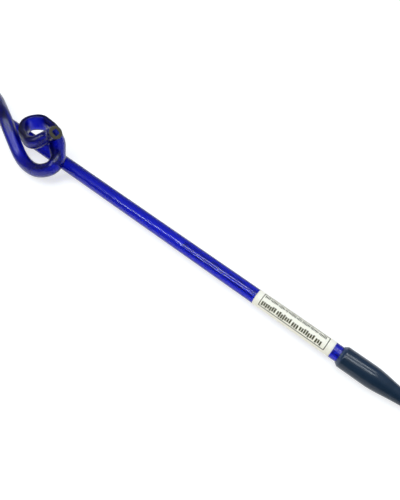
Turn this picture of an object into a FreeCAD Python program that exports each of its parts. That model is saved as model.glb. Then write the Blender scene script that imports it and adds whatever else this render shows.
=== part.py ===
"""Treble clef pen: a bent hollow tube, its wrap label, its refill and its slip-on cap.

The straight stem lies along +X with the curl at the -X end.  +Z is up and the
pen lies on the plane z = 0.  Everything is in millimetres.
"""
import FreeCAD, Part
import math
import os

import Sketcher
from FreeCAD import Placement, Rotation, Vector

DIMENSIONS = [
    # alias, value, meaning
    ("tube_diameter", 6.0, "outside of the tube"),
    ("tube_bore", 3.5, "inside of the tube"),
    ("stem_front", 139.5, "front end of the tube, from the stem datum"),
    ("stem_height", 4.1, "stem axis above the table, the cap's radius"),
    ("bend_share", 0.45, "share of the shorter run that each bend takes"),
    ("label_start", 93.0, "rear edge of the label, from the stem datum"),
    ("label_length", 32.5, "label along the stem"),
    ("label_wrap", 188.0, "degrees that the label wraps"),
    ("label_turn", 13.0, "degrees from the top to the middle of the label"),
    ("label_paper", 0.12, "thickness of the paper and its glue"),
    ("label_gap", 0.02, "between tube and paper"),
    ("cap_mouth", 128.5, "mouth of the cap, from the stem datum"),
    ("cap_diameter", 8.2, "outside of the cap's straight part"),
    ("cap_lip_diameter", 6.9, "outside of the cap at its mouth"),
    ("cap_lip", 0.3, "length of the cap's lip"),
    ("cap_chamfer", 0.8, "length of the slope behind the lip"),
    ("cap_straight_end", 12.6, "mouth to the end of the straight part"),
    ("cap_taper_middle", 19.7, "mouth to the middle of the taper"),
    ("cap_middle_diameter", 6.3, "outside at the middle of the taper"),
    ("cap_taper_end", 28.4, "mouth to the end of the taper"),
    ("cap_end_diameter", 4.1, "outside at the end of the taper"),
    ("cap_length", 30.4, "whole cap"),
    ("cap_bore", 6.1, "inside of the cap on the tube"),
    ("cap_bore_end", 12.2, "mouth to the end of the bore"),
    ("cap_hollow_end", 27.8, "mouth to the end of the tapered hollow"),
    ("cap_hollow_diameter", 2.3, "small end of the tapered hollow"),
    ("ink_tube_diameter", 2.9, "outside of the ink tube"),
    ("ink_tube_bore", 1.9, "inside of the ink tube"),
    ("ink_tube_rear", 57.5, "open rear end of the ink tube"),
    ("ink_rear", 66.0, "rear end of the ink"),
    ("nipple_rear", 130.5, "rear end of the point holder"),
    ("spigot_rear", 134.5, "rear end of the holder's spigot in the tube"),
    ("collar_front", 141.0, "front face of the holder's collar"),
    ("collar_diameter", 5.2, "collar that stops against the tube"),
    ("holder_front", 148.0, "front end of the point holder"),
    ("holder_cone_diameter", 4.6, "large end of the holder's cone"),
    ("holder_nose_diameter", 2.4, "small end of the holder's cone"),
    ("ink_way_diameter", 1.0, "ink way through the point holder"),
    ("point_rear", 144.0, "rear end of the metal point"),
    ("point_diameter", 1.6, "shank of the metal point"),
    ("point_front", 151.7, "front rim of the metal point"),
    ("point_rim_diameter", 0.86, "outside of the rim around the ball"),
    ("point_way_diameter", 0.5, "ink way through the metal point"),
    ("ball_diameter", 0.7, "writing ball"),
    ("socket_rear", 151.18, "bottom of the ball's socket"),
    ("socket_diameter", 0.74, "inside of the ball's socket"),
    ("crimp_rear", 151.6, "where the socket's rim turns in over the ball"),
    ("crimp_diameter", 0.69, "opening that the rim leaves for the ball"),
    ("ball_inset", 0.15, "ball centre behind the rim"),
]

# Corners of the tube's centre line, from the open end in the middle of the
# spiral, out around the bowl, over the stem, round the top loop and back
# under both crossings as the stem.  Heights are above the table.
CLEF_CORNERS = [
    (-10.8, 1.7, 21.4),
    (-15.9, 1.7, 16.6),
    (-20.6, -6.1, 14.0),
    (-31.0, -2.7, 11.1),
    (-35.3, 3.1, 9.8),
    (-32.0, 8.8, 9.2),
    (-21.7, 7.8, 10.5),
    (-15.6, 3.9, 11.1),
    (-5.6, -5.8, 10.8),
    (-15.1, -11.3, 4.9),
    (-27.2, -10.5, 2.2),
    (-38.0, -5.3, 7.6),
    (-45.7, -1.1, 11.6),
    (-60.3, 5.2, 8.4),
    (-70.1, 8.1, 4.4),
    (-81.3, 10.4, 2.6),
    (-82.1, -1.1, 4.1),
    (-66.0, 0.0, 4.1),
]

doc = FreeCAD.newDocument("clef_pen")


def make_sheet():
    """Put the driving dimensions in a spreadsheet, one row each."""
    sheet = doc.addObject("Spreadsheet::Sheet", "Dimensions")
    for row, (alias, value, meaning) in enumerate(DIMENSIONS, start=1):
        sheet.set(f"A{row}", meaning)
        sheet.set(f"B{row}", str(value))
        sheet.setAlias(f"B{row}", alias)
    doc.recompute()
    return sheet


dimensions = make_sheet()


def size(alias):
    """Read one driving dimension."""
    return float(getattr(dimensions, alias))


# ---------------------------------------------------------------- the tube

def route_wire(corners, share):
    """Straight runs joined by the largest tangent arcs that the runs allow."""
    points = [Vector(*corner) for corner in corners]
    edges = []
    radii = []
    start = points[0]
    for before, corner, after in zip(points, points[1:], points[2:]):
        back = before - corner
        ahead = after - corner
        cut = share * min(back.Length, ahead.Length)
        back.normalize()
        ahead.normalize()
        turn = math.pi - back.getAngle(ahead)
        radius = cut / math.tan(turn / 2)
        bisector = (back + ahead).normalize()
        middle = corner + bisector * (radius / math.cos(turn / 2) - radius)
        arc_start = corner + back * cut
        arc_end = corner + ahead * cut
        edges.append(Part.LineSegment(start, arc_start).toShape())
        edges.append(Part.Arc(arc_start, middle, arc_end).toShape())
        radii.append(radius)
        start = arc_end
    edges.append(Part.LineSegment(start, points[-1]).toShape())
    print("bend radii:", " ".join(f"{radius:.1f}" for radius in radii))
    return Part.Wire(edges)


def pipe(wire, radius):
    """A round solid of one radius along the wire."""
    start = wire.Edges[0].Vertexes[0].Point
    direction = wire.Edges[0].tangentAt(wire.Edges[0].FirstParameter)
    circle = Part.Wire(Part.Circle(start, direction, radius).toShape())
    solid = wire.makePipe(Part.Face(circle))
    expected = math.pi * radius**2 * wire.Length
    if abs(solid.Volume - expected) > 0.01 * expected:
        raise RuntimeError(f"pipe volume {solid.Volume:.1f}, expected {expected:.1f}")
    return solid


def make_clef_barrel():
    """The bent tube, bored through from its open end to its front."""
    front = (size("stem_front"), 0.0, size("stem_height"))
    wire = route_wire(CLEF_CORNERS + [front], size("bend_share"))
    outside = pipe(wire, size("tube_diameter") / 2)
    inside = pipe(wire, size("tube_bore") / 2)
    barrel = doc.addObject("Part::Feature", "ClefBarrel")
    barrel.Label = "clef_barrel"
    barrel.Shape = outside.cut(inside)
    return barrel


# ------------------------------------------- expressions of the sheet's cells

ALIASES = {alias for alias, _, _ in DIMENSIONS}


def with_sheet(expression):
    """Give every alias in the expression the sheet's name."""
    words = expression.split(" ")
    return " ".join("Dimensions." + word if word in ALIASES else word for word in words)


def work_out(expression):
    """The value of aliases and numbers joined by + - * /, read left to right."""
    words = expression.split(" ")
    total = size(words[0]) if words[0] in ALIASES else float(words[0])
    for sign, word in zip(words[1::2], words[2::2]):
        value = size(word) if word in ALIASES else float(word)
        if sign == "+":
            total += value
        elif sign == "-":
            total -= value
        elif sign == "*":
            total *= value
        else:
            total /= value
    return total


# ------------------------------------------------ pieces turned about the stem

def origin_item(body, role):
    """One plane or axis of the body's own origin."""
    return next(item for item in body.Origin.OriginFeatures if item.Role == role)


def fix_start(sketch, line, kind, value, expression):
    """Tie one coordinate of a line's start point to the sheet."""
    if abs(value) < 1e-9:
        axis = -2 if kind == "DistanceX" else -1
        sketch.addConstraint(Sketcher.Constraint("PointOnObject", line, 1, axis))
        return
    number = sketch.addConstraint(Sketcher.Constraint(kind, -1, 1, line, 1, value))
    sketch.setExpression(f"Constraints[{number}]", with_sheet(expression))


def turned_body(name, label, profile):
    """A body revolved about X from a closed profile.

    The profile's corners are in order, each as two expressions: the distance
    along the stem and the radius.
    """
    body = doc.addObject("PartDesign::Body", name)
    body.Label = label
    sketch = body.newObject("Sketcher::SketchObject", name + "Profile")
    sketch.AttachmentSupport = [(origin_item(body, "XY_Plane"), "")]
    sketch.MapMode = "FlatFace"
    corners = [Vector(work_out(along), work_out(radius), 0) for along, radius in profile]
    for first, second in zip(corners, corners[1:] + corners[:1]):
        sketch.addGeometry(Part.LineSegment(first, second), False)
    for line in range(len(corners)):
        following = (line + 1) % len(corners)
        sketch.addConstraint(Sketcher.Constraint("Coincident", line, 2, following, 1))
    for line, (along, radius) in enumerate(profile):
        fix_start(sketch, line, "DistanceX", corners[line].x, along)
        fix_start(sketch, line, "DistanceY", corners[line].y, radius)
    turned = body.newObject("PartDesign::Revolution", name + "Turned")
    turned.Profile = (sketch, [""])
    turned.ReferenceAxis = (origin_item(body, "X_Axis"), [""])
    turned.Angle = 360.0
    doc.recompute()
    return body


def make_cap():
    """The slip-on cap: lip, slope, straight part, taper, and the hollow inside."""
    return turned_body("Cap", "cap", [
        ("0", "cap_bore / 2"),
        ("0", "cap_lip_diameter / 2"),
        ("cap_lip", "cap_lip_diameter / 2"),
        ("cap_lip + cap_chamfer", "cap_diameter / 2"),
        ("cap_straight_end", "cap_diameter / 2"),
        ("cap_taper_middle", "cap_middle_diameter / 2"),
        ("cap_taper_end", "cap_end_diameter / 2"),
        ("cap_length", "cap_end_diameter / 4"),
        ("cap_length", "0"),
        ("cap_hollow_end", "0"),
        ("cap_hollow_end", "cap_hollow_diameter / 2"),
        ("cap_bore_end", "cap_bore / 2"),
    ])


def make_point_holder():
    """The moulded holder: nipple in the ink tube, spigot in the stem, collar and cone."""
    return turned_body("PointHolder", "point_holder", [
        ("nipple_rear", "ink_way_diameter / 2"),
        ("nipple_rear", "ink_tube_bore / 2"),
        ("spigot_rear", "ink_tube_bore / 2"),
        ("spigot_rear", "tube_bore / 2"),
        ("stem_front", "tube_bore / 2"),
        ("stem_front", "collar_diameter / 2"),
        ("collar_front", "collar_diameter / 2"),
        ("collar_front", "holder_cone_diameter / 2"),
        ("holder_front", "holder_nose_diameter / 2"),
        ("holder_front", "point_diameter / 2"),
        ("point_rear", "point_diameter / 2"),
        ("point_rear", "ink_way_diameter / 2"),
    ])


def make_metal_point():
    """The metal point with its ink way, the ball's socket and the rim turned in over it."""
    return turned_body("MetalPoint", "metal_point", [
        ("point_rear", "point_way_diameter / 2"),
        ("point_rear", "point_diameter / 2"),
        ("holder_front", "point_diameter / 2"),
        ("point_front", "point_rim_diameter / 2"),
        ("point_front", "crimp_diameter / 2"),
        ("crimp_rear", "socket_diameter / 2"),
        ("socket_rear", "socket_diameter / 2"),
        ("socket_rear", "point_way_diameter / 2"),
    ])


# ---------------------------------------------------------- round plain pieces

ALONG_X = Rotation(Vector(0, 1, 0), 90)


def cylinder_along_x(name, radius, length, start):
    """A cylinder about the X axis, its sizes bound to the sheet."""
    cylinder = doc.addObject("Part::Cylinder", name)
    cylinder.Placement = Placement(Vector(0, 0, 0), ALONG_X)
    cylinder.setExpression("Radius", with_sheet(radius))
    cylinder.setExpression("Height", with_sheet(length))
    cylinder.setExpression("Placement.Base.x", with_sheet(start))
    return cylinder


def cut(name, label, base, tool):
    """One piece cut out of another."""
    result = doc.addObject("Part::Cut", name)
    result.Base = base
    result.Tool = tool
    result.Label = label
    return result


def make_ink_tube():
    """The open plastic tube that holds the ink, from its rear end to the spigot."""
    length = "spigot_rear - ink_tube_rear"
    outside = cylinder_along_x("InkTubeOutside", "ink_tube_diameter / 2", length, "ink_tube_rear")
    inside = cylinder_along_x("InkTubeInside", "ink_tube_bore / 2", length, "ink_tube_rear")
    return cut("InkTube", "ink_tube", outside, inside)


def make_ink():
    """The ink, which fills the tube up to the holder's nipple."""
    ink = cylinder_along_x("Ink", "ink_tube_bore / 2", "nipple_rear - ink_rear", "ink_rear")
    ink.Label = "ink_column"
    return ink


def make_label():
    """The paper that wraps half of the stem, its middle turned towards -Y."""
    inner = "tube_diameter / 2 + label_gap"
    outside = cylinder_along_x("LabelOutside", inner + " + label_paper", "label_length", "label_start")
    inside = cylinder_along_x("LabelInside", inner, "label_length", "label_start")
    outside.setExpression("Angle", with_sheet("label_wrap"))
    middle = work_out("label_wrap / 2")
    straight_up = 180.0
    around = Rotation(Vector(1, 0, 0), straight_up - middle + size("label_turn"))
    for piece in (outside, inside):
        piece.Placement = Placement(Vector(0, 0, 0), around.multiply(ALONG_X))
    return cut("PaperLabel", "paper_label", outside, inside)


def make_ball():
    """The writing ball in its socket."""
    ball = doc.addObject("Part::Sphere", "WritingBall")
    ball.setExpression("Radius", with_sheet("ball_diameter / 2"))
    ball.Label = "writing_ball"
    return ball


# ------------------------------------------------------- placing and exporting

def check_document():
    """Stop if any object failed to build."""
    for item in doc.Objects:
        if "Invalid" in item.State or "Error" in item.State:
            raise RuntimeError(f"{item.Label} failed: {item.State}")


def export(pieces):
    """Check each sub-part's shape and write it as its own STEP file."""
    os.makedirs("parts", exist_ok=True)
    for piece in pieces:
        shape = piece.Shape
        if shape.isNull() or not shape.isValid():
            raise RuntimeError(f"{piece.Label} has no valid shape")
        shape.exportStep(f"parts/{piece.Label}.step")
        box = shape.optimalBoundingBox(False, False)
        print(f"{piece.Label}: {len(shape.Solids)} solid, {shape.Volume:.2f} mm3, "
              f"x {box.XMin:.2f}..{box.XMax:.2f}, y {box.YMin:.2f}..{box.YMax:.2f}, "
              f"z {box.ZMin:.2f}..{box.ZMax:.2f}")


barrel = make_clef_barrel()
label = make_label()
cap = make_cap()
holder = make_point_holder()
metal_point = make_metal_point()
ink_tube = make_ink_tube()
ink = make_ink()
ball = make_ball()
doc.recompute()
check_document()

# Centre the whole pen over the origin in X and Y, with the stem at its height.
barrel_box = barrel.Shape.optimalBoundingBox(False, False)
front_x = work_out("cap_mouth + cap_length")
middle_x = (barrel_box.XMin + front_x) / 2
middle_y = (barrel_box.YMin + barrel_box.YMax) / 2
to_centre = Vector(-middle_x, -middle_y, 0)
to_stem = to_centre + Vector(0, 0, size("stem_height"))
barrel.Placement = Placement(to_centre, Rotation())
for piece in (label, holder, metal_point, ink_tube):
    piece.Placement = Placement(to_stem, Rotation())
cap.Placement = Placement(to_stem + Vector(size("cap_mouth"), 0, 0), Rotation())
ball.Placement = Placement(to_stem + Vector(work_out("point_front - ball_inset"), 0, 0), Rotation())
ink.setExpression("Placement.Base.x", None)
ink.Placement = Placement(to_stem + Vector(size("ink_rear"), 0, 0), ALONG_X)
doc.recompute()
check_document()
print(f"stem datum at x {to_centre.x:.4f}, y {to_centre.y:.4f}")
export([barrel, label, cap, holder, metal_point, ink_tube, ink, ball])
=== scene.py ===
import math
import random

import bmesh
import bpy
import numpy as np
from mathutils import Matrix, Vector


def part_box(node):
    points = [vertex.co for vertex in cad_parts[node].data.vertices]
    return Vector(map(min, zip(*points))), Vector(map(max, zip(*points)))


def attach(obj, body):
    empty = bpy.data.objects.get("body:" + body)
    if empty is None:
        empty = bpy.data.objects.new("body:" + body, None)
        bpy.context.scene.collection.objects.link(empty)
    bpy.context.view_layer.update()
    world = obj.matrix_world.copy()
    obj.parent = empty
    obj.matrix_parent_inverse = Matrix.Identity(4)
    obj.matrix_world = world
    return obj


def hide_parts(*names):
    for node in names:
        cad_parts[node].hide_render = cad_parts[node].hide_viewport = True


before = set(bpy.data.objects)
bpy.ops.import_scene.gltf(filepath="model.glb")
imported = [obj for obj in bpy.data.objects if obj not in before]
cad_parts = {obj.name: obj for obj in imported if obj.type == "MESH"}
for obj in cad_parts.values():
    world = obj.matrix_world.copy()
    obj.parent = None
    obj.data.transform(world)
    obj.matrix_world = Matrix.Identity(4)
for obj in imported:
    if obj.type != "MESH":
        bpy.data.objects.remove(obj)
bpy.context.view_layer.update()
MM = 0.001

# ------------------------------------------------------------ places and sizes

label_low, label_high = (Vector(corner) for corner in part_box("paper_label"))
cap_low = Vector(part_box("cap")[0])
ink_tube_low, ink_tube_high = (Vector(corner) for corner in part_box("ink_tube"))
barrel_high = Vector(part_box("clef_barrel")[1])

# The stem datum is the point on the stem axis from which the tube's route is
# measured.  The label starts at this distance from it.
LABEL_START = 93.0 * MM
stem_y = (ink_tube_low.y + ink_tube_high.y) / 2
stem_z = (ink_tube_low.z + ink_tube_high.z) / 2
datum_x = label_low.x - LABEL_START

TUBE_RADIUS = 3.0
BORE_RADIUS = 1.75
STEM_FRONT = (barrel_high.x - datum_x) / MM

# ------------------------------------------------------------------- materials


def new_material(name):
    """A new node material, with its tree and its shader."""
    material = bpy.data.materials.new(name)
    material.use_nodes = True
    return material, material.node_tree, material.node_tree.nodes["Principled BSDF"]


def noise(tree, scale, detail=4.0, stretch=(1, 1, 1)):
    """Noise in object coordinates, stretched along the axes."""
    where = tree.nodes.new("ShaderNodeTexCoord")
    mapping = tree.nodes.new("ShaderNodeMapping")
    mapping.inputs["Scale"].default_value = stretch
    texture = tree.nodes.new("ShaderNodeTexNoise")
    texture.inputs["Scale"].default_value = scale
    texture.inputs["Detail"].default_value = detail
    tree.links.new(where.outputs["Object"], mapping.inputs["Vector"])
    tree.links.new(mapping.outputs["Vector"], texture.inputs["Vector"])
    return texture.outputs["Fac"]


def ramp(tree, value, stops):
    """A colour ramp over a value: stops are (position, rgb)."""
    node = tree.nodes.new("ShaderNodeValToRGB")
    first, last = node.color_ramp.elements[0], node.color_ramp.elements[1]
    first.position, first.color = stops[0][0], (*stops[0][1], 1)
    last.position, last.color = stops[-1][0], (*stops[-1][1], 1)
    for position, colour in stops[1:-1]:
        node.color_ramp.elements.new(position).color = (*colour, 1)
    tree.links.new(value, node.inputs["Fac"])
    return node.outputs["Color"]


def blend(tree, share, first, second):
    """Mix two colours: each is an rgb tuple or another node's output."""
    node = tree.nodes.new("ShaderNodeMix")
    node.data_type = "RGBA"
    for colour, socket in ((first, node.inputs["A"]), (second, node.inputs["B"])):
        if isinstance(colour, tuple):
            socket.default_value = (*colour, 1)
        else:
            tree.links.new(colour, socket)
    tree.links.new(share, node.inputs["Factor"])
    return node.outputs["Result"]


def along_stem(tree, start, end):
    """A value rising from 0 to 1 between two places along X, in metres."""
    where = tree.nodes.new("ShaderNodeTexCoord")
    split = tree.nodes.new("ShaderNodeSeparateXYZ")
    node = tree.nodes.new("ShaderNodeMapRange")
    node.inputs["From Min"].default_value = start
    node.inputs["From Max"].default_value = end
    tree.links.new(where.outputs["Object"], split.inputs["Vector"])
    tree.links.new(split.outputs["X"], node.inputs["Value"])
    return node.outputs["Result"]


def vary(tree, value, low, high, socket):
    """Carry a socket from low to high as a noise value goes from 0.3 to 0.7."""
    node = tree.nodes.new("ShaderNodeMapRange")
    node.inputs["From Min"].default_value = 0.3
    node.inputs["From Max"].default_value = 0.7
    node.inputs["To Min"].default_value = low
    node.inputs["To Max"].default_value = high
    tree.links.new(value, node.inputs["Value"])
    tree.links.new(node.outputs["Result"], socket)


def bump(tree, shader, height, strength, distance):
    """A bump from a height value; distance in metres."""
    node = tree.nodes.new("ShaderNodeBump")
    node.inputs["Strength"].default_value = strength
    node.inputs["Distance"].default_value = distance
    tree.links.new(height, node.inputs["Height"])
    tree.links.new(node.outputs["Normal"], shader.inputs["Normal"])


CLEF_ROUGHNESS = 0.28
STEM_ROUGHNESS = (0.10, 0.16)
# The bends' glass colour is painted shade: darker and greyer than the stem's tints.
CLEF_PAINTED_SHADE_TINT = (0.50, 0.52, 0.84)
STEM_TINTS = ((0.50, 0.56, 0.96), (0.62, 0.68, 1.0))
# Painted shade and painted reflection: the glass colour darkens to this towards the silhouettes.
EDGE_PAINTED_SHADE = (0.08, 0.08, 0.11)
GLASS_DEPTH_COLOUR = (0.0, 0.12, 0.855)
GLASS_DENSITY = 1600.0
GLASS_IOR = 1.42
CAP_IOR = 1.42


def cobalt_glass():
    """Cobalt glass: coloured through its thickness, rougher in the bends than on the stem; painted
    shade makes the bends darker and greyer.
    """
    material, tree, shader = new_material("cobalt_glass")
    streaks = noise(tree, 260, 3.0, (0.05, 1, 1))
    tint = ramp(tree, streaks, [(0.3, STEM_TINTS[0]), (0.7, STEM_TINTS[1])])
    stem = along_stem(tree, datum_x - 20 * MM, datum_x + 50 * MM)
    # Painted shade and painted reflection: darker towards the silhouettes, by Layer Weight facing.
    edge = tree.nodes.new("ShaderNodeLayerWeight")
    edge.inputs["Blend"].default_value = 0.5
    grazing = ramp(tree, edge.outputs["Facing"], [(0.25, (0, 0, 0)), (0.9, (1, 1, 1))])
    # Painted shade: the bends take the darker, greyer tint, rising to the stem's tints along X.
    body = blend(tree, stem, CLEF_PAINTED_SHADE_TINT, tint)
    tree.links.new(blend(tree, grazing, body, EDGE_PAINTED_SHADE), shader.inputs["Base Color"])
    shader.inputs["Transmission Weight"].default_value = 1.0
    shader.inputs["IOR"].default_value = GLASS_IOR
    polish = tree.nodes.new("ShaderNodeMix")
    polish.inputs["A"].default_value = CLEF_ROUGHNESS
    tree.links.new(stem, polish.inputs["Factor"])
    vary(tree, noise(tree, 900, 2.0), *STEM_ROUGHNESS, polish.inputs["B"])
    tree.links.new(polish.outputs["Result"], shader.inputs["Roughness"])
    bump(tree, shader, noise(tree, 120, 1.0, (0.35, 1, 1)), 0.015, 0.0002)
    depth = tree.nodes.new("ShaderNodeVolumeAbsorption")
    depth.inputs["Color"].default_value = (*GLASS_DEPTH_COLOUR, 1)
    depth.inputs["Density"].default_value = GLASS_DENSITY
    tree.links.new(depth.outputs["Volume"], tree.nodes["Material Output"].inputs["Volume"])
    return material


def ground_glass():
    """The tube's open end, ground dull; its dark grey-brown colour is painted shade and painted
    reflection.
    """
    material, tree, shader = new_material("ground_glass")
    # Painted shade and painted reflection: dark grey-brown over the end face.
    tint = ramp(tree, noise(tree, 2500, 5.0),
                [(0.3, (0.03, 0.027, 0.012)), (0.7, (0.06, 0.053, 0.025))])
    tree.links.new(tint, shader.inputs["Base Color"])
    vary(tree, noise(tree, 3000, 3.0), 0.45, 0.7, shader.inputs["Roughness"])
    bump(tree, shader, noise(tree, 6000, 3.0), 0.3, 0.00005)
    return material


def smoke_plastic():
    """Dark smoke translucent moulding with a fine satin skin; a painted highlight makes it paler
    and bluer at its thin mouth.
    """
    material, tree, shader = new_material("smoke_plastic")
    cloud = noise(tree, 300, 4.0)
    body = ramp(tree, cloud, [(0.3, (0.007, 0.022, 0.047)), (0.7, (0.011, 0.030, 0.062))])
    # Painted highlight: a paler blue band at the mouth, where the lip catches light and the blue
    # tube shows through.
    mouth = along_stem(tree, cap_low.x + 0.4 * MM, cap_low.x + 1.6 * MM)
    tree.links.new(blend(tree, mouth, (0.035, 0.06, 0.13), body), shader.inputs["Base Color"])
    shader.inputs["Transmission Weight"].default_value = 0.15
    shader.inputs["IOR"].default_value = CAP_IOR
    vary(tree, noise(tree, 1500, 3.0), 0.17, 0.25, shader.inputs["Roughness"])
    bump(tree, shader, noise(tree, 2500, 3.0), 0.03, 0.0001)
    return material


def label_paper():
    """Coated paper with faint fibres."""
    material, tree, shader = new_material("label_paper")
    tint = ramp(tree, noise(tree, 1800, 6.0, (0.4, 1, 1)),
                [(0.3, (0.98, 0.92, 0.77)), (0.7, (0.99, 0.94, 0.81))])
    tree.links.new(tint, shader.inputs["Base Color"])
    vary(tree, noise(tree, 700, 3.0), 0.42, 0.58, shader.inputs["Roughness"])
    bump(tree, shader, noise(tree, 4000, 4.0), 0.2, 0.00005)
    return material


def print_ink():
    """Printing ink, slightly broken where the paper's grain shows through."""
    material, tree, shader = new_material("print_ink")
    tint = ramp(tree, noise(tree, 5000, 4.0),
                [(0.3, (0.05, 0.046, 0.015)), (0.75, (0.10, 0.092, 0.04))])
    tree.links.new(tint, shader.inputs["Base Color"])
    shader.inputs["Roughness"].default_value = 0.55
    return material


def plain_plastic(name, light, dark, roughness, transmission):
    """A smooth material with slight mottling, more or less see-through."""
    material, tree, shader = new_material(name)
    tint = ramp(tree, noise(tree, 500, 4.0), [(0.3, dark), (0.7, light)])
    tree.links.new(tint, shader.inputs["Base Color"])
    shader.inputs["Transmission Weight"].default_value = transmission
    shader.inputs["IOR"].default_value = 1.49
    vary(tree, noise(tree, 1200, 3.0), roughness, roughness + 0.12, shader.inputs["Roughness"])
    bump(tree, shader, noise(tree, 3000, 2.0), 0.08, 0.0001)
    return material


def turned_metal(name, light, dark, roughness):
    """Metal with fine turning rings across the stem."""
    material, tree, shader = new_material(name)
    rings = noise(tree, 6000, 2.0, (1, 0.02, 0.02))
    tint = ramp(tree, rings, [(0.3, dark), (0.7, light)])
    tree.links.new(tint, shader.inputs["Base Color"])
    shader.inputs["Metallic"].default_value = 1.0
    vary(tree, rings, roughness, roughness + 0.15, shader.inputs["Roughness"])
    bump(tree, shader, rings, 0.2, 0.00005)
    return material


def table_white():
    """The plain pale table."""
    material, tree, shader = new_material("table_white")
    tint = ramp(tree, noise(tree, 30, 4.0), [(0.3, (0.46, 0.46, 0.47)), (0.7, (0.5, 0.5, 0.51))])
    tree.links.new(tint, shader.inputs["Base Color"])
    shader.inputs["Roughness"].default_value = 0.7
    shader.inputs["Emission Color"].default_value = (1.0, 1.0, 1.0, 1)
    shader.inputs["Emission Strength"].default_value = 0.68
    return material


def dress(piece, material):
    """Give a piece one material."""
    piece.data.materials.clear()
    piece.data.materials.append(material)


# ------------------------------------------------------------------ mesh tools


def new_piece(name, vertices, faces, smooth=True):
    """A mesh object from lists of points in metres and faces."""
    mesh = bpy.data.meshes.new(name)
    mesh.from_pydata([tuple(point) for point in vertices], [], faces)
    mesh.validate()
    piece = bpy.data.objects.new(name, mesh)
    bpy.context.collection.objects.link(piece)
    for face in mesh.polygons:
        face.use_smooth = smooth
    return piece


def outward(piece):
    """Point every face of a closed piece outwards."""
    work = bmesh.new()
    work.from_mesh(piece.data)
    bmesh.ops.recalc_face_normals(work, faces=work.faces)
    work.to_mesh(piece.data)
    work.free()


def lathe(name, profile, start_x, sides=96):
    """A closed piece turned about the stem axis from (distance, radius) in mm.

    The profile is a closed outline.  Points on the axis become one vertex.
    """
    vertices = []
    rings = []
    for along, radius in profile:
        x = start_x + along * MM
        if radius < 1e-6:
            rings.append([len(vertices)])
            vertices.append((x, stem_y, stem_z))
            continue
        rings.append(list(range(len(vertices), len(vertices) + sides)))
        for side in range(sides):
            turn = 2 * math.pi * side / sides
            vertices.append((x, stem_y + radius * MM * math.cos(turn),
                             stem_z + radius * MM * math.sin(turn)))
    faces = []
    for ring, following in zip(rings, rings[1:] + rings[:1]):
        for side in range(sides):
            after = (side + 1) % sides
            if len(ring) == 1 and len(following) == 1:
                break
            if len(ring) == 1:
                faces.append((ring[0], following[side], following[after]))
            elif len(following) == 1:
                faces.append((ring[side], following[0], ring[after]))
            else:
                faces.append((ring[side], following[side], following[after], ring[after]))
    piece = new_piece(name, vertices, faces)
    outward(piece)
    return piece


def rounded(profile, corners, steps=5):
    """Round the named corners of a closed profile: {index: radius in mm}."""
    result = []
    count = len(profile)
    for index, point in enumerate(profile):
        if index not in corners:
            result.append(point)
            continue
        here = np.array(point)
        back = np.array(profile[index - 1]) - here
        ahead = np.array(profile[(index + 1) % count]) - here
        cut = min(corners[index], 0.45 * np.linalg.norm(back), 0.45 * np.linalg.norm(ahead))
        back = here + back / np.linalg.norm(back) * cut
        ahead = here + ahead / np.linalg.norm(ahead) * cut
        for step in range(steps + 1):
            share = step / steps
            spot = (1 - share) ** 2 * back + 2 * share * (1 - share) * here + share**2 * ahead
            result.append((float(spot[0]), float(spot[1])))
    return result


# -------------------------------------------------------------- the clef tube

# Corners of the tube's centre line in mm: x from the stem datum, y from the stem
# axis, z from the table.  Then the half-thickness across the bend, the
# half-height, and how far the tube's middle is moved level to one side, or with
# a minus sign to the other.
CLEF_ROUTE = [
    (-10.8, 1.7, 21.4, 2.7, 2.8, 0.0),
    (-15.9, 1.7, 16.6, 2.5, 2.9, 0.0),
    (-20.6, -6.1, 14.0, 2.5, 3.0, 0.1),
    (-31.0, -2.7, 11.1, 1.9, 3.1, 0.5),
    (-35.3, 3.1, 9.6, 1.2, 3.5, 0.9),
    (-32.0, 8.8, 8.0, 1.3, 4.5, 0.5),
    (-21.7, 7.8, 10.1, 1.8, 3.4, 0.3),
    (-15.6, 3.9, 10.8, 3.55, 3.1, -0.6),
    (-5.6, -5.8, 10.8, 3.0, 3.0, 0.0),
    (-15.1, -11.3, 4.9, 3.0, 3.0, 0.0),
    (-27.2, -10.5, 2.2, 3.0, 3.0, 0.0),
    (-38.0, -5.3, 7.6, 3.0, 3.0, 0.0),
    (-45.7, -1.1, 11.6, 3.0, 3.0, 0.0),
    (-60.3, 5.2, 8.4, 3.0, 3.0, 0.0),
    (-70.1, 8.1, 4.4, 3.0, 3.0, 0.0),
    (-81.3, 10.4, 2.6, 2.8, 3.05, 0.1),
    (-82.1, -1.1, 4.1, 2.8, 3.05, 0.1),
    (-66.0, 0.0, 4.1, 3.0, 3.0, 0.0),
]
# A point of the straight stem, after its x.
ON_STEM = (0.0, 4.1, 3.0, 3.0, 0.0)

BEND_STEP = 0.35        # distance between the stations of the bent part, in mm
STEM_STEP = 5.0         # and of the straight stem
BEND_SHARE = 0.45       # how much of the shorter run at a corner its arc takes
ARC_POINTS = 24
LINE_PASSES = 10        # smoothing of the whole row
SECTION_PASSES = 60     # further smoothing of the sizes and the shift

OUTER_LIP = 0.38        # rounding of the open end, outside and in the bore, in mm
BORE_LIP = 0.15
END_NARROWING = 0.3     # the bore is this much tighter at the open end
END_WIDENING = 0.05     # and opens by this much at each station
FRONT_BEVEL = 0.15      # bevels of the end that meets the holder
FRONT_BORE_BEVEL = 0.1
TUBE_SIDES = 64
LIP_STEPS = 5


def relaxed(rows, passes):
    """Draw each row towards its neighbours, the two ends fixed."""
    for _ in range(passes):
        rows[1:-1] += 0.25 * (rows[:-2] + rows[2:] - 2 * rows[1:-1])
    return rows


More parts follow.
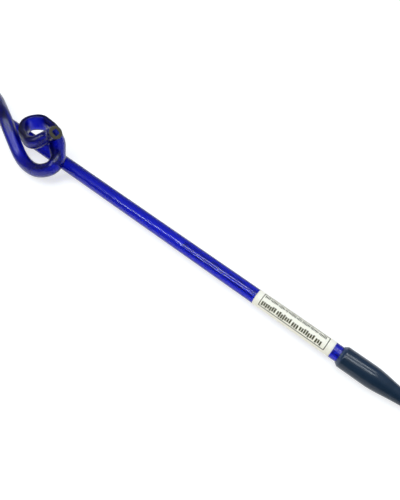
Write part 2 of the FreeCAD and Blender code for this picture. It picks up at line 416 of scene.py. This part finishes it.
def tube_stations():
    """Points, half-sizes and offsets along the tube: straight runs joined by arcs."""
    corners = np.array(CLEF_ROUTE + [(STEM_FRONT, *ON_STEM)])
    rows = [corners[0]]
    for before, corner, after in zip(corners, corners[1:], corners[2:]):
        back, ahead = before[:3] - corner[:3], after[:3] - corner[:3]
        cut = BEND_SHARE * min(np.linalg.norm(back), np.linalg.norm(ahead))
        back, ahead = back / np.linalg.norm(back), ahead / np.linalg.norm(ahead)
        turn = math.pi - math.acos(float(np.clip(back @ ahead, -1, 1)))
        radius = cut / math.tan(turn / 2)
        bisector = (back + ahead) / np.linalg.norm(back + ahead)
        centre = corner[:3] + bisector * radius / math.cos(turn / 2)
        first, second = corner[:3] + back * cut - centre, corner[:3] + ahead * cut - centre
        for share in np.linspace(0, 1, ARC_POINTS):
            spot = math.sin((1 - share) * turn) * first + math.sin(share * turn) * second
            rows.append(np.r_[centre + spot / math.sin(turn), corner[3:]])
    bent = np.array(rows)
    lengths = np.r_[0, np.cumsum(np.linalg.norm(np.diff(bent[:, :3], axis=0), axis=1))]
    even = np.linspace(0, lengths[-1], int(lengths[-1] / BEND_STEP))
    columns = [np.interp(even, lengths, column) for column in bent.T]
    line = relaxed(np.stack(columns, axis=1), LINE_PASSES)
    relaxed(line[:, 3:], SECTION_PASSES)
    stem = [(x, *ON_STEM) for x in np.arange(line[-1, 0] + 2, STEM_FRONT, STEM_STEP)]
    return np.vstack([line, stem, [(STEM_FRONT, *ON_STEM)]])


def section(half_thickness, half_height, count):
    """Points around a tube's section: an oval, with flatter sides when it is thin."""
    flat = min(max(2.3 - half_thickness, 0.0), 1.0)
    power = 2 / (2 + 2.6 * flat)
    points = []
    for side in range(count):
        turn = 2 * math.pi * side / count
        points.append([half * math.copysign(abs(wave) ** power, wave)
                       for half, wave in ((half_thickness, math.cos(turn)),
                                          (half_height, math.sin(turn)))])
    return np.array(points)


def directions(centres):
    """Unit tangents, and the level directions across them."""
    tangents = np.gradient(centres, axis=0)
    tangents /= np.linalg.norm(tangents, axis=1)[:, None]
    across = np.cross(tangents, (0.0, 0.0, 1.0))
    across /= np.linalg.norm(across, axis=1)[:, None]
    return tangents, across


def make_clef_tube():
    """The bent tube with its bore, its flattened bends and its ground open end."""
    stations = tube_stations()
    thickness, height = stations[:, 3], stations[:, 4]
    _, across = directions(stations[:, :3])
    centres = stations[:, :3] - across * stations[:, 5:6]
    tangents, across = directions(centres)
    upright = np.cross(across, tangents)
    wall = TUBE_RADIUS - BORE_RADIUS
    sides = TUBE_SIDES
    vertices = []

    def ring(index, along=0.0, inset=0.0, bore=False):
        """A ring of vertices at a station, moved along the tube and drawn in."""
        half_thickness, half_height = thickness[index], height[index]
        if bore:
            # In the thin bends a narrow bore is left open.
            half_thickness = max(half_thickness - wall, 0.1 + 0.1 * half_thickness)
            half_height -= wall
        points = section(half_thickness - inset, half_height - inset, sides)
        place = centres[index] + tangents[index] * along
        spots = place + points[:, :1] * across[index] + points[:, 1:] * upright[index]
        first = len(vertices)
        vertices.extend((datum_x + x * MM, stem_y + y * MM, z * MM) for x, y, z in spots)
        return list(range(first, first + sides))

    last = len(centres) - 1
    quarter = [math.pi / 2 * step / LIP_STEPS for step in range(LIP_STEPS + 1)]
    rings = [ring(0, OUTER_LIP * (1 - math.sin(turn)), OUTER_LIP * (1 - math.cos(turn)))
             for turn in reversed(quarter)]
    rings += [ring(index) for index in range(2, last)]
    rings += [ring(last, -FRONT_BEVEL), ring(last, 0, FRONT_BEVEL),
              ring(last, 0, -FRONT_BORE_BEVEL, True), ring(last, -FRONT_BORE_BEVEL, 0, True)]
    rings += [ring(index, 0, max(END_NARROWING - END_WIDENING * (index - 2), 0.0), True)
              for index in range(last - 1, 1, -1)]
    rings += [ring(0, BORE_LIP * (1 - math.sin(turn)),
                   END_NARROWING - BORE_LIP * (1 - math.cos(turn)), True) for turn in quarter]
    faces = []
    for one, other in zip(rings, rings[1:] + rings[:1]):
        for side in range(sides):
            after = (side + 1) % sides
            faces.append((one[side], other[side], other[after], one[after]))
    piece = new_piece("clef_tube", vertices, faces)
    outward(piece)
    for material in (cobalt_glass(), ground_glass()):
        piece.data.materials.append(material)
    # The open end: the outer lip, then the bore's lip and the flat face between.
    polygons = list(piece.data.polygons)
    for face in polygons[:LIP_STEPS * sides] + polygons[-(LIP_STEPS + 1) * sides:]:
        face.material_index = 1
    return piece


clef_tube = make_clef_tube()
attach(clef_tube, "barrel")
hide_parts("clef_barrel")

# ------------------------------------------------------------------- the label

LABEL_TURN = math.radians(13.0)
LABEL_HALF_WRAP = math.radians(94.0)
PAPER_INSIDE = 3.02
PAPER_OUTSIDE = 3.14
PRINT_HEIGHT = 0.012
PRINT_SUNK = 0.01
FRAME_MARGIN = 2.4
FRAME_LINE = 0.3
FRAME_TURNS = (LABEL_TURN - math.radians(53), LABEL_TURN + math.radians(51))
BAR_MARGIN = 0.8
BAR_SPANS = ((-1.0, 0.7), (-1.0, 1.0), (-0.6, 1.0), (-0.7, 0.7))
label_middle = (label_low.x + label_high.x) / 2
label_length = (label_high.x - label_low.x) / MM


def on_stem(along, turn, radius):
    """A point at a distance in mm along the stem from the label's middle.

    turn is the angle from the top towards -Y, and radius is in mm.
    """
    return (label_middle + along * MM, stem_y - radius * MM * math.sin(turn),
            stem_z + radius * MM * math.cos(turn))


def curved_patch(vertices, faces, along, turns, radii, cells):
    """Add a closed curved plate: along and turns are (low, high), cells (nx, nt)."""
    count_x, count_t = cells
    first = len(vertices)
    for radius in radii:
        for step_x in range(count_x + 1):
            x = along[0] + (along[1] - along[0]) * step_x / count_x
            for step_t in range(count_t + 1):
                turn = turns[0] + (turns[1] - turns[0]) * step_t / count_t
                vertices.append(on_stem(x, turn, radius))
    layer = (count_x + 1) * (count_t + 1)

    def at(level, step_x, step_t):
        return first + level * layer + step_x * (count_t + 1) + step_t

    for step_x in range(count_x):
        for step_t in range(count_t):
            for level in (0, 1):
                faces.append((at(level, step_x, step_t), at(level, step_x + 1, step_t),
                              at(level, step_x + 1, step_t + 1), at(level, step_x, step_t + 1)))
    for step_x in range(count_x):
        for step_t in (0, count_t):
            faces.append((at(0, step_x, step_t), at(0, step_x + 1, step_t),
                          at(1, step_x + 1, step_t), at(1, step_x, step_t)))
    for step_t in range(count_t):
        for step_x in (0, count_x):
            faces.append((at(0, step_x, step_t), at(0, step_x, step_t + 1),
                          at(1, step_x, step_t + 1), at(1, step_x, step_t)))


def make_label():
    """The paper wrapped part of the way round the stem."""
    vertices, faces = [], []
    half = label_length / 2
    curved_patch(vertices, faces, (-half, half),
                 (LABEL_TURN - LABEL_HALF_WRAP, LABEL_TURN + LABEL_HALF_WRAP),
                 (PAPER_INSIDE, PAPER_OUTSIDE), (40, 72))
    piece = new_piece("wrap_label", vertices, faces)
    outward(piece)
    return piece


def make_print():
    """The printed frame, and two rows of plain upright bars where small print would be."""
    random.seed(7)
    vertices, faces = [], []
    half = label_length / 2 - FRAME_MARGIN
    low, high = FRAME_TURNS
    radii = (PAPER_OUTSIDE - PRINT_SUNK, PAPER_OUTSIDE + PRINT_HEIGHT)
    thin = FRAME_LINE / PAPER_OUTSIDE
    for turn in (low, high - thin):
        curved_patch(vertices, faces, (-half, half), (turn, turn + thin), radii, (1, 2))
    for along in (-half, half - FRAME_LINE):
        curved_patch(vertices, faces, (along, along + FRAME_LINE), (low + thin, high - thin),
                     radii, (1, 40))
    rows = (
        # middle, half-height, bar width, space, least and most bars to a group
        (math.radians(-18), math.radians(11.0), 0.32, 0.20, (2, 6)),
        (math.radians(33), math.radians(19.0), 0.62, 0.26, (3, 7)),
    )
    for middle, half_height, width, space, group in rows:
        place = -half + BAR_MARGIN
        bars = random.randint(*group)
        while place < half - BAR_MARGIN - width:
            low_share, high_share = random.choice(BAR_SPANS)
            turns = (middle + low_share * half_height, middle + high_share * half_height)
            curved_patch(vertices, faces, (place, place + width), turns, radii, (1, 8))
            place += width + space
            bars -= 1
            if bars == 0:
                place += 1.5 * space
                bars = random.randint(*group)
    piece = new_piece("label_print", vertices, faces)
    outward(piece)
    return piece


wrap_label = make_label()
dress(wrap_label, label_paper())
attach(wrap_label, "barrel")
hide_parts("paper_label")

label_print = make_print()
dress(label_print, print_ink())
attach(label_print, "barrel")

# --------------------------------------------------------------------- the cap


def make_cap():
    """The cap: a hollow shell with a lip at its mouth, tapering to a rounded tip."""
    outline = [
        (0.0, 3.05), (0.0, 3.45), (0.3, 3.45), (1.1, 4.1), (12.6, 4.1),
        (16.0, 3.75), (19.7, 3.15), (24.0, 2.6), (28.4, 2.05), (29.6, 1.7),
        (30.25, 1.0), (30.4, 0.0), (27.8, 0.0), (27.8, 1.15), (12.2, 3.05),
    ]
    soft = {1: 0.12, 2: 0.08, 3: 0.18, 4: 1.6, 5: 1.5, 6: 1.5, 7: 1.5, 8: 0.8, 9: 0.4, 10: 0.3}
    return lathe("cap_shell", rounded(outline, soft), cap_low.x)


cap_shell = make_cap()
dress(cap_shell, smoke_plastic())
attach(cap_shell, "cap")
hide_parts("cap")

# ------------------------------------------------------ the refill and its point


def stand_for(piece, node, body, material):
    """Dress a piece and let it stand for one CAD node."""
    dress(piece, material)
    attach(piece, body)
    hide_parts(node)


def make_ink_tube():
    """The refill's straight tube, open at both ends."""
    outline = [(57.5, 0.95), (57.5, 1.45), (134.5, 1.45), (134.5, 0.95)]
    return lathe("refill_tube", rounded(outline, {index: 0.1 for index in range(4)}), datum_x, 48)


def make_ink():
    """The ink, let a hair into the tube's wall, with a hollow rear end."""
    outline = [(66.5, 0.0), (66.42, 0.4), (66.2, 0.75), (66.0, 0.96),
               (130.5, 0.96), (130.5, 0.0)]
    return lathe("ink_fill", outline, datum_x, 48)


def make_holder():
    """The holder: barbed nipple, ribbed spigot, collar and a cone with two fine rings."""
    outline = [
        (130.5, 0.5), (130.5, 0.8), (130.9, 0.94), (131.3, 0.88), (132.4, 0.94),
        (132.8, 0.88), (134.5, 0.9), (134.5, 1.5), (134.8, 1.74), (136.0, 1.74),
        (136.1, 1.66), (138.2, 1.66), (138.3, 1.74), (139.5, 1.74), (139.5, 2.6),
        (141.0, 2.6), (141.0, 2.28), (142.4, 2.08), (142.5, 1.98), (142.8, 1.94),
        (142.9, 2.0), (143.6, 1.89), (143.7, 1.79), (144.0, 1.74), (144.1, 1.8),
        (148.0, 1.18), (148.0, 0.8), (144.0, 0.8), (144.0, 0.5),
    ]
    soft = {14: 0.2, 15: 0.2, 16: 0.1, 25: 0.15, 26: 0.05}
    return lathe("moulded_holder", rounded(outline, soft), datum_x, 80)


def make_point():
    """The turned point: shank, shoulder, cone, and the thin rim round the ball."""
    outline = [
        (144.0, 0.25), (144.0, 0.74), (144.15, 0.79), (148.0, 0.79), (148.5, 0.79), (148.6, 0.7),
        (149.1, 0.68), (149.2, 0.62), (151.35, 0.44), (151.6, 0.42), (151.7, 0.375), (151.6, 0.36),
        (151.2, 0.36), (151.2, 0.25),
    ]
    soft = {4: 0.06, 5: 0.06, 8: 0.1, 9: 0.04, 10: 0.03}
    return lathe("turned_point", rounded(outline, soft), datum_x, 64)


def make_ball():
    """The writing ball in the point's rim."""
    centre, radius, steps = 151.55, 0.35, 24
    turns = [math.pi * step / steps for step in range(steps + 1)]
    outline = [(centre - radius * math.cos(turn), radius * math.sin(turn)) for turn in turns]
    outline[-1] = (outline[-1][0], 0.0)
    return lathe("ground_ball", outline, datum_x, 48)


stand_for(make_ink_tube(), "ink_tube", "barrel",
          plain_plastic("clear_plastic", (0.94, 0.96, 0.99), (0.88, 0.90, 0.94), 0.12, 0.15))
stand_for(make_ink(), "ink_column", "barrel",
          plain_plastic("blue_ink", (0.42, 0.50, 0.98), (0.34, 0.42, 0.94), 0.03, 1.0))
stand_for(make_holder(), "point_holder", "barrel",
          plain_plastic("holder_plastic", (0.85, 0.87, 0.88), (0.8, 0.82, 0.84), 0.3, 0.1))
stand_for(make_point(), "metal_point", "barrel",
          turned_metal("nickel_silver", (0.78, 0.74, 0.66), (0.66, 0.62, 0.55), 0.18))
stand_for(make_ball(), "writing_ball", "ball",
          turned_metal("carbide", (0.5, 0.5, 0.52), (0.4, 0.4, 0.42), 0.12))

# ------------------------------------------------------- table, light, camera


TABLE_SIDE = 12.0
TABLE_CELLS = 12

STRIP_TURN = math.radians(56.5)
STRIP_COLOUR = (0.88, 0.95, 1.0)
# Name, place, size (both in metres) and power in watts.
STRIPS = (
    ("strip_near", (-0.207, -0.056, 1.0), (2.05, 0.08), 7.9),
    ("strip_far", (-0.062, -0.376, 1.0), (1.45, 0.06), 4.8),
)

# Colours of the room at heights from level (0) to straight up (1), on the side
# that faces the BACK_WALL direction and on the other.
BACK_WALL = (0.6, 0.8, 0.0)
BACK_COLOURS = [(0.0, (0.21, 0.22, 0.23)), (0.5, (0.36, 0.43, 0.56)), (1.0, (0.45, 0.50, 0.56))]
FRONT_COLOURS = [(0.0, (0.19, 0.19, 0.16)), (0.4, (0.14, 0.14, 0.08)),
                 (0.7, (0.10, 0.10, 0.10)), (1.0, (0.18, 0.18, 0.18))]


def make_table():
    """The table: one flat sheet of square faces."""
    vertices = []
    for row in range(TABLE_CELLS + 1):
        for column in range(TABLE_CELLS + 1):
            vertices.append((TABLE_SIDE * (column / TABLE_CELLS - 0.5),
                             TABLE_SIDE * (row / TABLE_CELLS - 0.5), 0))
    faces = []
    for row in range(TABLE_CELLS):
        for column in range(TABLE_CELLS):
            corner = row * (TABLE_CELLS + 1) + column
            above = corner + TABLE_CELLS + 1
            faces.append((corner, corner + 1, above + 1, above))
    table = new_piece("table", vertices, faces)
    dress(table, table_white())


def area_light(name, place, size, power):
    """A strip light facing down, turned about the vertical."""
    data = bpy.data.lights.new(name, "AREA")
    data.shape = "RECTANGLE"
    data.size, data.size_y = size
    data.energy = power
    data.color = STRIP_COLOUR
    light = bpy.data.objects.new(name, data)
    light.location = place
    light.rotation_euler = (0, 0, STRIP_TURN)
    bpy.context.collection.objects.link(light)


def make_world():
    """The room around the table, coloured by height and by side."""
    world = bpy.data.worlds.new("studio")
    world.use_nodes = True
    sky = world.node_tree
    direction = sky.nodes.new("ShaderNodeTexCoord")
    split = sky.nodes.new("ShaderNodeSeparateXYZ")
    sky.links.new(direction.outputs["Generated"], split.inputs["Vector"])
    front = ramp(sky, split.outputs["Z"], FRONT_COLOURS)
    back = ramp(sky, split.outputs["Z"], BACK_COLOURS)
    facing = sky.nodes.new("ShaderNodeVectorMath")
    facing.operation = "DOT_PRODUCT"
    facing.inputs[1].default_value = BACK_WALL
    sky.links.new(direction.outputs["Generated"], facing.inputs[0])
    turned = sky.nodes.new("ShaderNodeMapRange")
    turned.inputs["From Min"].default_value = -0.1
    turned.inputs["From Max"].default_value = 0.5
    sky.links.new(facing.outputs["Value"], turned.inputs["Value"])
    room = blend(sky, turned.outputs["Result"], front, back)
    sky.links.new(room, sky.nodes["Background"].inputs["Color"])
    sky.nodes["Background"].inputs["Strength"].default_value = 1.0
    bpy.context.scene.world = world


make_table()
for strip in STRIPS:
    area_light(*strip)
make_world()
bpy.context.scene.view_settings.view_transform = "Standard"

CAMERA_ELEVATION = 61.0
CAMERA_TURN = 38.3
camera_data = bpy.data.cameras.new("camera")
camera_data.lens = 32.4
camera_data.sensor_width = 36.0
camera_data.clip_start = 0.01
camera = bpy.data.objects.new("camera", camera_data)
camera.location = (datum_x + 0.11756, stem_y - 0.06522, 0.15985)
camera.rotation_euler = (math.radians(90 - CAMERA_ELEVATION), 0, math.radians(CAMERA_TURN))
bpy.context.collection.objects.link(camera)
bpy.context.scene.camera = camera
